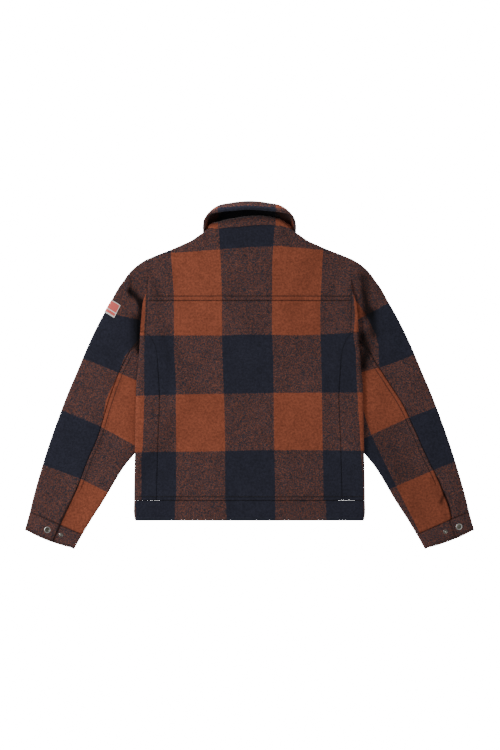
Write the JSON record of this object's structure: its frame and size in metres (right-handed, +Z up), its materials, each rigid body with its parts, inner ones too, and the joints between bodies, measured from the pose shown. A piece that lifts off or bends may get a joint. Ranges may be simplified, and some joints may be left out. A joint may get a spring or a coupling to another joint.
{
  "type": "jacket",
  "caption": "Short checked wool jacket with a hem band, buttoned cuffs and a turned-up collar, laid flat with its back up.",
  "frame": {"origin": "centre of the bounding box in plan, on the surface the jacket lies on", "axes": "+X to the wearer's right, which is the picture's right; +Y from the hem to the collar; +Z up, out of the jacket's back"},
  "size_m": [0.9888, 0.7644, 0.0537],
  "materials": {
    "check_wool": "napped wool in a large rust, navy and mixed check",
    "snap_metal": "plain silver snap caps and studs",
    "patch_cloth": "woven patch in coral red and off-white"
  },
  "bodies": {
    "root": {"back_yoke": "check_wool", "back_panel": "check_wool", "side_panel_left": "check_wool", "side_panel_right": "check_wool", "front_left": "check_wool", "front_right": "check_wool", "hem_band": "check_wool", "sleeve_upper_left": "check_wool", "sleeve_upper_right": "check_wool", "sleeve_under_left": "check_wool", "sleeve_under_right": "check_wool", "cuff_left": "check_wool", "cuff_right": "check_wool", "collar_stand": "check_wool", "collar_leaf": "check_wool", "cuff_cap_left": "snap_metal", "cuff_cap_right": "snap_metal", "cuff_stud_left": "snap_metal", "cuff_stud_right": "snap_metal", "front_cap_1": "snap_metal", "front_cap_2": "snap_metal", "front_cap_3": "snap_metal", "front_cap_4": "snap_metal", "front_cap_5": "snap_metal", "front_cap_6": "snap_metal", "sleeve_patch": "patch_cloth"}
  },
  "joints": []
}
